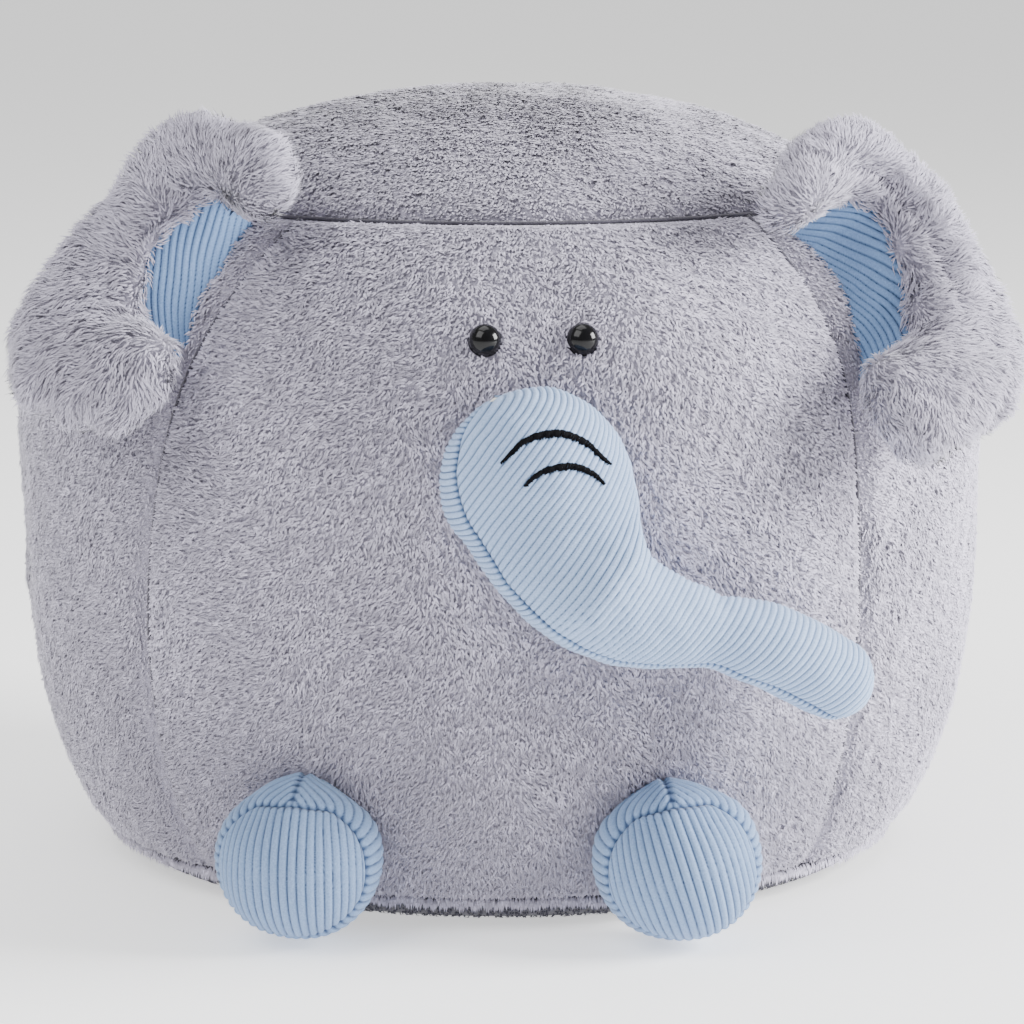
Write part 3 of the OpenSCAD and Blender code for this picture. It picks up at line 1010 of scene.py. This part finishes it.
def foot_point(label, theta, psi, inset=0.0):
    """A point of the foot's cloth before its ribs, at an angle theta from the toe's middle and psi round it
    from the top, and its direction from the foot's middle."""
    middle, out = FEET[label]
    face, roll, _ = FOOT_LOOKS[label]
    toe = turned(1, 0, face)
    toe = unit(toe + np.array([0, 0, 0.02]))
    right = unit(np.cross(toe, [0, 0, 1.0]))
    up = np.cross(right, toe)
    q = psi + math.radians(roll)
    flat = np.sin(q)[..., None] * right + np.cos(q)[..., None] * up
    d = np.cos(theta)[..., None] * toe + np.sin(theta)[..., None] * flat
    across = np.sin(psi) * np.sin(theta)
    above = np.cos(psi) * np.sin(theta)
    shoulder = np.exp(-(((np.abs(across) - 0.52) / 0.3) ** 2 + ((above - 0.72) / 0.3) ** 2))
    peak = np.exp(-((across / 0.14) ** 2 + ((above - 0.95) / 0.25) ** 2)) * (np.abs(psi) < 1.5)
    r = FOOT_R * (0.985 - 0.05 * shoulder + 0.035 * peak) - inset
    p = middle + d * r[..., None]
    p = p + d * (0.5 * foot_lumps(p))[..., None]
    under = np.minimum(p[..., 2:] - middle[2], 0)
    p = p - under * [0, 0, FOOT_SAG]
    behind = -((p - middle) @ out)
    over = np.maximum(behind - (FOOT_BACK - 6), 0)
    p = p + out * (over - 6 * np.tanh(over / 6))[..., None]
    return p, d


def foot_seam(psi):
    """The toe panel's edge, an angle from its middle: round, with a straight top."""
    straight = np.arcsin(np.clip(0.80 / np.maximum(np.cos(psi), 0.05), 0, 0.999))
    return -np.log(np.exp(-14 * math.radians(66)) + np.exp(-14 * straight)) / 14


def foot_shell(label, name, toe, stands_for):
    columns = 321
    rows = 65
    psi = np.linspace(-math.pi, math.pi, columns)[None, :-1]
    share = np.linspace(0.002 if toe else 0, 1, rows if toe else rows + 16)[:, None]
    seam = foot_seam(psi)
    if toe:
        theta = share * seam
    else:
        theta = seam + share * (math.radians(172) - seam)
    psi_all = psi + 0 * theta
    base, d = foot_point(label, theta, psi_all)
    edge, _ = foot_point(label, seam, psi)
    walked = walked_along(edge[0])
    walked = walked - np.interp(0, psi[0], walked)
    from_edge = np.abs(theta - seam) * FOOT_R
    lean = math.radians(FOOT_LOOKS[label][2] - FOOT_LOOKS[label][1])
    if toe:
        x, z = theta * np.sin(psi_all) * FOOT_R, theta * np.cos(psi_all) * FOOT_R
        phase = (x * math.cos(lean) - z * math.sin(lean)) / FOOT_WALE + 0.5
        middle_seam = 0 * theta
    else:
        s = np.abs(walked)[None]
        phase = (s + 0.8 * from_edge * np.exp(-((s / 26) ** 2))) / FOOT_WALE
        x = psi_all * np.sin(theta) * FOOT_R
        middle_seam = np.exp(-((x / 1.3) ** 2)) * (from_edge < 34)
    height, groove = rib(phase, FOOT_WALE_DEPTH)
    stitched = np.maximum(np.exp(-((from_edge / 1.7) ** 2)), middle_seam)
    under = base - d * (1.4 * stitched)[..., None]
    face = under + d * (height * (1 - 0.5 * stitched))[..., None]
    face[..., 2] = np.maximum(face[..., 2], 0.05)
    if (grid_normals(under, True)[rows // 2, 5] * d[rows // 2, 5]).sum() < 0:
        under, face, groove, stitched = (v[:, ::-1] for v in (under, face, groove, stitched))
    obj = cloth_shell(name, face, under, 4, wrap=True)
    # The strips pulled in at the seams count as deep groove, so the corduroy gets painted shade along them
    # too.
    attribute_on_front(obj, "groove", np.clip(groove + 0.5 * stitched, 0, 1))
    settle(paint(obj, foot_cord), f"foot_{label}", stands_for)


def make_feet():
    for label in FEET:
        foot_shell(label, f"foot_{label}_toe_cloth", True, f"foot_{label}_toe_panel")
        foot_shell(label, f"foot_{label}_gusset_cloth", False, f"foot_{label}_gusset")
        psi = np.linspace(-math.pi, math.pi, 33)[None, :-1]
        theta = np.linspace(0.02, 3.0, 25)[:, None]
        inside, _ = foot_point(label, theta + 0 * psi, psi + 0 * theta, 5.0)
        pad = paint(tube_solid(f"foot_{label}_filling", inside), filling)
        settle(pad, f"foot_{label}", f"foot_{label}_stuffing")


# ---------------------------------------------------------------- ears

EAR_TURNS = {"left": (-30, -25, 25), "right": (30, -25, -25)}
# The roll round each ear, from its top end at the hinge to its bottom end: inner edge u, v, outer edge u, v,
# depth in front, depth behind, and how far forward it lies.
EAR_ROLLS = {
    "left": [(6, 33, 14, 51, 11, 4, 7), (-7, 34, -3, 59, 13, 5, 6), (-19, 34, -23, 61.5, 14, 6, 3),
             (-30, 32, -48, 55.5, 14, 6, 1), (-36, 20, -63, 43, 13, 7, 0), (-39, 6, -66, 22, 13, 7, 0),
             (-36, -6, -69, -7, 13, 7, 0), (-30, -17, -70, -41, 14, 7, 1), (-23, -28, -66, -67, 16, 7, 3),
             (-14, -32, -47, -83, 18, 8, 5), (-4, -33, -20, -82, 18, 8, 7), (6, -33, 5, -73, 16, 6, 8),
             (12, -38, 16, -60, 12, 5, 8)],
    "right": [(-1, 23, -6, 41, 11, 4, 7), (12, 25, 16, 47, 14, 5, 6), (26, 26, 39, 49.5, 15, 6, 3),
              (39, 23, 60, 47.5, 14, 6, 1), (50, 10, 75, 35, 14, 7, 0), (50, -6, 82, 5, 14, 7, 0),
              (45, -23, 80, -37, 14, 7, 0), (37, -35, 74, -65, 15, 7, 1), (29, -45, 61, -80, 17, 7, 3),
              (19, -47, 45, -91, 19, 8, 5), (8, -46, 18, -93, 19, 8, 7), (-4, -46, -8, -87, 17, 6, 8),
              (-14, -50, -20, -73, 13, 5, 8)],
}
EAR_FUR_LENGTH = 7.0
EAR_WALE = 3.2
# Which way the ribs of each lining repeat: out from the body along the cloth, and up the hinge.
EAR_WALE_NORMAL = {"left": (0.92, -0.391), "right": (0.864, 0.503)}
EAR_VALLEY = 5.5
EDGE_ROWS = 5
# How many rows of a lining's grid the back turns in over, at each end.
EAR_TURN_IN = 8
ear_lumps = waves(41, 38)
ear_crumples = waves(42, 16)


def ear_frame(label):
    swing, back, inward = (math.radians(v) for v in EAR_TURNS[label])
    turn = Matrix.Rotation(swing, 3, "Z") @ Matrix.Rotation(back, 3, "X") @ Matrix.Rotation(inward, 3, "Y")
    return joint_mm(f"ear_{label}_flap"), np.array(turn)


def ear_place(label, uvw):
    at, turn = ear_frame(label)
    local = np.stack([uvw[..., 0], -uvw[..., 2], uvw[..., 1]], -1)
    return at + local @ turn.T


# For each piece, a start and an end: how far out from the hinge, and how far forward.
ROLL_TURN = [(-8, 0), (24, 0)]
SHEET_TURN = [(16, -24), (34, 0)]


def ear_bend(obj):
    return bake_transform(obj)


def ear_roll(label):
    """The grid of the roll round the ear, rows along it and columns round it, its normals and the way out."""
    rows, columns = ((150, 64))
    table = spline(EAR_ROLLS[label], rows)
    inner, outer = table[:, :2], table[:, 2:4]
    middle = (inner + outer) / 2
    walked = walked_along(middle)
    end = np.minimum(walked, walked[-1] - walked)
    cap = np.sqrt(np.clip(1 - (1 - np.clip(end / 12, 0, 1)) ** 2, 0.002, 1))
    a = np.radians(np.arange(columns) * 360 / columns)
    half = (outer - inner) / 2 * cap[:, None]
    deep = np.where(np.sin(a) > 0, table[:, 4:5], table[:, 5:6]) * cap[:, None]
    uv = middle[:, None] + half[:, None] * np.cos(a)[None, :, None]
    fuller = np.sign(np.sin(a)) * np.abs(np.sin(a)) ** 0.8
    w = table[:, 6:7] + deep * fuller
    if label == "right":
        along = (walked / walked[-1])[:, None]
        valley = np.exp(-(((np.cos(a) + 0.4) / 0.24) ** 2)) * (np.sin(a) > 0)
        w = w - EAR_VALLEY * valley[None] * smooth((along - 0.1) / 0.15) * smooth((0.8 - along) / 0.3)
    g = ear_place(label, np.concatenate([uv, w[..., None]], -1))
    n = grid_normals(g, True)
    core = ear_place(label, np.concatenate([middle, table[:, 6:7]], 1))
    if ((g - core[:, None]) * n).sum() < 0:
        g, n = g[:, ::-1], -n[:, ::-1]
    g = g + n * (1.6 * ear_lumps(g) + 0.7 * ear_crumples(g))[..., None] * cap[:, None, None]
    inside = np.clip(walked, 8, walked[-1] - 8)
    core = np.stack([np.interp(inside, walked, core[:, k]) for k in range(3)], 1)
    toward = unit(g - core[:, None])
    sure = smooth((end - 1) / 5)[:, None, None]
    n = unit(grid_normals(g, True))
    n = n * np.sign((n * toward).sum(-1, keepdims=True))
    n = unit(n * sure + toward * (1 - sure))
    away = unit(ear_place(label, np.concatenate([outer, 0 * w[:, :1]], 1))
                - ear_place(label, np.concatenate([inner, 0 * w[:, :1]], 1)))
    return g, n, np.broadcast_to(away[:, None], g.shape)


def outward_shell(name, label, base, face, step, front, *others):
    """A cloth shell whose face looks to the front or to the back of the ear."""
    _, turn = ear_frame(label)
    way = turn @ np.array([0, -1.0 if front else 1.0, 0])
    if (grid_normals(base) @ way).sum() < 0:
        base, face, *others = (v[:, ::-1] for v in (base, face, *others))
    return (cloth_shell(name, face, base, step), base, *others)


# Where each lining meets the body: v, then u.
EAR_JOINS = {"left": [(-80, -40), (-60, -22), (-42, -7), (-29, -8), (-8, -13), (0, -15), (18, -20), (30, -24),
                      (42, -30), (60, -44)],
             "right": [(-90, 44), (-72, 24), (-56, 12), (-46, 14), (-38, 19), (-13, 29), (11, 33), (24, 30),
                       (34, 34), (50, 48)]}


# How far each sheet runs on under the roll, how deep its inner edge is sunk in the body, how high its outer
# edge lies, and how soon it rises to that.
SHEET_BEYOND, SHEET_SUNK, SHEET_HIGH, SHEET_RISE = 9, 3, 1.5, 0.9


def joined_sheet(label, body_tree, rows, columns):
    """A sheet from where the ear meets the body out to its roll's inner edge: u, v and height."""
    way = -1 if label == "left" else 1
    _, turn = ear_frame(label)
    table = spline(EAR_ROLLS[label], 400)[:, :2]
    edge = table[np.argmax(table[:, 1]):np.argmin(table[:, 1]) + 1][::-1]
    v = np.linspace(edge[0, 1] - SHEET_BEYOND, edge[-1, 1] + SHEET_BEYOND, rows)
    far = np.interp(v, edge[:, 1], edge[:, 0]) + way * SHEET_BEYOND
    join = np.interp(v, *np.array(EAR_JOINS[label]).T) - way * 5
    far = way * np.maximum(way * far, way * join + 8)
    front = Vector(turn @ np.array([0, -1.0, 0]))
    low = []
    for a, b in zip(join, v):
        start = ear_place(label, np.array([a, b, 60.0])) * MM
        hit = body_tree.ray_cast(Vector(start), -front)[0]
        low.append(-30.0 if hit is None else 60 - (Vector(start) - hit).length / MM)
    low = np.convolve(np.pad(low, 6, "edge"), np.ones(13) / 13, "valid") - SHEET_SUNK
    share = np.linspace(0, 1, columns)[None]
    u = join[:, None] + (far - join)[:, None] * share
    w = low[:, None] + (SHEET_HIGH - low)[:, None] * np.sin(share * math.pi / 2) ** SHEET_RISE
    return u, v[:, None] + 0 * u, w


def make_ear(label, body_tree):
    way = -1 if label == "left" else 1
    roll, n, away = ear_roll(label)
    rim = paint(tube_solid(f"ear_{label}_rim_cloth", roll), ear_skin)
    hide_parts(f"ear_{label}_rim")
    columns, rows = ((93, 161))
    u, v, w = joined_sheet(label, body_tree, rows, columns)
    base = ear_place(label, np.stack([u, v, w], -1))
    ripple = 1.2 * waves(43 if way < 0 else 44, 26)(base)
    normal = np.array(ear_frame(label)[1] @ np.array([0, -1.0, 0]))
    base = base + normal * ripple[..., None]
    wale = EAR_WALE_NORMAL[label]
    out = walked_along(base)
    bend = 1.8 * np.sin(out / 7 + v / 20) if way > 0 else 1.0 * np.sin(v / 14)
    phase = (out * wale[0] + v * wale[1] + bend) / EAR_WALE
    height, groove = rib(phase, 1.0)
    face = base + normal * height[..., None]
    cut = slice(EAR_TURN_IN, -EAR_TURN_IN)
    lining, _, groove = outward_shell(f"ear_{label}_lining_cloth", label, base[cut], face[cut], 4, True,
                                      groove[cut])
    attribute_on_front(lining, "groove", groove)
    paint(lining, lining_cord)
    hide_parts(f"ear_{label}_lining")
    fuller = np.sin(np.linspace(0, math.pi, rows))[:, None] ** 0.6
    row = np.arange(rows)[:, None]
    turned_in = smooth(1 - np.minimum(row, rows - 1 - row) / EAR_TURN_IN)
    behind = (2 * CLOTH_T + 0.5 + 4 * fuller) * (1 - turned_in) + 2.2 * turned_in
    base = ear_place(label, np.stack([u, v, w - behind], -1)) + normal * ripple[..., None]
    base = base[::2, ::2]
    back, back_grid = outward_shell(f"ear_{label}_back_cloth", label, base, base, 4, False)[:2]
    paint(back, ear_skin)
    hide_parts(f"ear_{label}_back")
    between = w - CLOTH_T - 0.1 - 1.5 * fuller
    base = ear_place(label, np.stack([u, v, between], -1)) + normal * ripple[..., None]
    base = base[12:-12:6, 6:-6:6]
    pad = paint(outward_shell(f"ear_{label}_filling", label, base, base, 1, True)[0], filling)
    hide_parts(f"ear_{label}_wadding")
    for piece, where, turn in ((rim, "ear_fur", ROLL_TURN), (back, "ear_fur", SHEET_TURN),
                               (lining, "ear_corduroy", SHEET_TURN), (pad, "stuffing", SHEET_TURN)):
        ear_bend(piece)

    def with_roll(obj):
        ear_bend(obj)

    def with_sheet(obj):
        ear_bend(obj)

    roll, n, away = (np.concatenate([f, f[:, :1]], 1) for f in (roll, n, away))
    p, n, away = seed((roll, n, away), EAR_FUR_STEP)
    ear_tufts(f"ear_{label}_rim_pile", p, unit(n), away, 0.95, with_roll)
    n = grid_normals(back_grid)
    out = ear_frame(label)[1] @ np.array([way * 1.0, 0, -0.5])
    p, n = seed((back_grid, n), EAR_FUR_STEP)
    ear_tufts(f"ear_{label}_back_pile", p, unit(n), out + 0 * p, 0.5, with_sheet)
    front = -grid_normals(back_grid)
    for end, part in (("low", slice(0, EDGE_ROWS)), ("high", slice(-EDGE_ROWS, None))):
        p, n = seed((back_grid[part], front[part]), EAR_FUR_STEP)
        ear_tufts(f"ear_{label}_{end}_edge_pile", p, unit(n), out + 0 * p, 0.7, with_sheet)


def ear_tufts(name, p, n, lay, rise, place):
    count = len(p)
    a = np.radians(20 * swirl_b(p) + 22 * clumps(p) + rng.normal(0, 14, count))[:, None]
    lay = lay + np.array([0, 0, -0.35])
    lay = lay * np.cos(a) + np.cross(n, lay) * np.sin(a)
    length = EAR_FUR_LENGTH + clumps(p) + rng.normal(0, 0.9, count)
    rise = np.clip(rise + 0.22 * patchy(p) + rng.normal(0, 0.15, count), 0.3, 1.35)
    width = rng.uniform(0.5, 0.95, count)
    tip_pick = tip_tones(p, tones=len(EAR_TIPS))
    length = np.maximum(length, 4)
    grow(name, p, n, lay, length, width, rise, ear_pile, tip_pick, place, soften=0.6, tip_lean=0.5)


# ---------------------------------------------------------------- stitching on the trunk

# The creases: x and z of the middle of each line of stitches, from the root's middle.
CREASES = [
    [(-13.7, 9.2), (-3.4, 18.4), (9.5, 21.3), (20.3, 17.7), (27.3, 11.6), (32.2, 6.9)],
    [(-4.0, 0.2), (1.8, 5.5), (9.4, 8.0), (16.8, 8.0), (24.3, 4.6), (29.4, -0.2)],
]
STITCH_STEP = 0.42
STITCH_R = 0.3
CREASE_WIDTH = 2.6


def tree_of(objects):
    verts, faces = [], []
    for o in objects:
        faces += [[len(verts) + i for i in f.vertices] for f in o.data.polygons]
        verts += [v.co.copy() for v in o.data.vertices]
    return BVHTree.FromPolygons(verts, faces)


def make_creases(cloth):
    low, high = box_mm("trunk_root_cover")
    root = (low + high) / 2
    tree = tree_of([cloth])

    def on_cloth(x, z):
        hit, n, _, _ = tree.ray_cast(Vector((x * MM, -0.5, z * MM)), Vector((0, 1, 0)))
        if hit is None:
            raise RuntimeError("a stitch misses the trunk")
        return np.array(hit) / MM, np.array(n)

    grids = []
    for crease in CREASES:
        line = spline(np.array(crease) + root[[0, 2]], 400)
        walked = walked_along(line)
        for at in np.arange(0.4, walked[-1] - 0.4, STITCH_STEP):
            x, z = (np.interp(at, walked, line[:, k]) for k in (0, 1))
            s = at / walked[-1]
            width = CREASE_WIDTH * max(math.sin(math.pi * s), 0.0) ** 0.6 + 0.3
            slope = np.array([np.interp(at + 1, walked, line[:, k]) - np.interp(at - 1, walked, line[:, k])
                              for k in (0, 1)])
            slope = slope / np.linalg.norm(slope)
            up = np.array([-slope[1], slope[0]])
            up = up + 0.25 * slope + rng.normal(0, 0.05, 2)
            a = np.array([x, z]) - up * (width * 0.55 + rng.uniform(-0.35, 0.45))
            b = np.array([x, z]) + up * (width * 0.45 + rng.uniform(-0.1, 0.12))
            rows = []
            for f, lift in ((0, -0.1), (0.12, 0.35), (0.5, 0.75), (0.88, 0.35), (1, -0.1)):
                q, n = on_cloth(*(a + (b - a) * f))
                rows.append((q + n * lift, n))
            path = np.array([r[0] for r in rows])
            along = unit(np.gradient(path, axis=0))
            side = unit(np.cross(along, rows[2][1]))
            out = np.cross(side, along)
            t = np.radians(np.arange(0, 360, 60))
            thick = STITCH_R * np.array([0.5, 1, 1.1, 1, 0.5])[:, None, None]
            grids.append(path[:, None] + thick * (np.cos(t)[None, :, None] * side[:, None]
                                                  + np.sin(t)[None, :, None] * out[:, None]))
    size = grids[0][..., 0].size + 2
    parts = [tube_parts(g, i * size) for i, g in enumerate(grids)]
    stitches = mesh_object("trunk_crease_stitches", *(np.concatenate(kind) for kind in zip(*parts)))
    obj = paint(stitches, black_thread)
    settle(obj, "body", "trunk_crease_threads")


# ---------------------------------------------------------------- the making

def finish_cad_parts():
    repaint("body_stuffing", filling)
    for name in ("eye_left_washer", "eye_right_washer"):
        repaint(name, washer_plastic)


def repaint(name, material):
    obj = frame["nodes"][name]
    if not obj.material_slots:
        obj.data.materials.append(material)
    for s in obj.material_slots:
        s.material = material


make_creases(make_trunk())
make_eyes()
make_feet()
body_fields = make_body()
make_seam_shadow_lines()
body_tree = tree_of([bpy.data.objects[n.replace("panel", "cloth")] for n in body_fields])
make_ear("left", body_tree)
make_ear("right", body_tree)
grow_body(body_fields)
grow_base(*make_base())
finish_cad_parts()


# ---------------------------------------------------------------- floor, light and camera

FLOOR_R = 14000
FLOOR_DROP = 0.3
FLOOR_GLOW = 0.8
WORLD_LIGHT = 0.34
LIGHT_AIM = (0, 0, 0.16)
# Each soft light: where it hangs, its size and its power, in metres and watts.
LIGHTS = {"key_right": ((2.35, -0.4, 1.15), 1.3, 190), "top_back": ((-0.2, 0.3, 2.4), 1.6, 24),
          "front_left": ((-1.5, -1.3, 2.1), 2.0, 58)}


def make_stage():
    turns = np.radians(np.arange(0, 360, 6))
    rim = np.stack([np.cos(turns), np.sin(turns), 0 * turns], 1) * FLOOR_R
    count = len(turns)
    tris = [(i, (i + 1) % count, count) for i in range(count)]
    floor = mesh_object("floor", np.concatenate([rim, np.zeros((1, 3))]) - [0, 0, FLOOR_DROP], (), tris)
    pale = new_material("floor_pale", (0.9, 0.9, 0.9), roughness=0.9)
    shader = pale.node_tree.nodes["Principled BSDF"]
    shader.inputs["Emission Color"].default_value = (1, 1, 1, 1)
    shader.inputs["Emission Strength"].default_value = FLOOR_GLOW
    paint(floor, pale)


def make_light():
    for name, (at, size, power) in LIGHTS.items():
        data = bpy.data.lights.new(name, "AREA")
        data.energy, data.size = power, size
        lamp = bpy.data.objects.new(name, data)
        lamp.location = at
        lamp.rotation_euler = (Vector(LIGHT_AIM) - Vector(at)).to_track_quat("-Z", "Y").to_euler()
        bpy.context.scene.collection.objects.link(lamp)
    world = bpy.data.worlds.new("studio")
    world.use_nodes = True
    background = world.node_tree.nodes["Background"]
    background.inputs["Color"].default_value = (1, 1, 1, 1)
    background.inputs["Strength"].default_value = WORLD_LIGHT
    bpy.context.scene.world = world


CAMERA_ELEVATION = 9.5
CAMERA_TURN = -2
CAMERA_DISTANCE = 2000
CAMERA_AIM = np.array([5.6, -0.2, 152])
LENS = 149.9


def make_camera():
    e = math.radians(CAMERA_ELEVATION)
    away = turned(math.cos(e), math.sin(e), CAMERA_TURN)
    data = bpy.data.cameras.new("camera")
    data.lens, data.sensor_width = LENS, 36
    data.clip_start, data.clip_end = 0.05, 60
    camera = bpy.data.objects.new("camera", data)
    camera.location = Vector((CAMERA_AIM + CAMERA_DISTANCE * away) * MM)
    camera.rotation_euler = Vector(-away).to_track_quat("-Z", "Y").to_euler()
    bpy.context.scene.collection.objects.link(camera)
    bpy.context.scene.camera = camera


make_stage()
make_light()
make_camera()
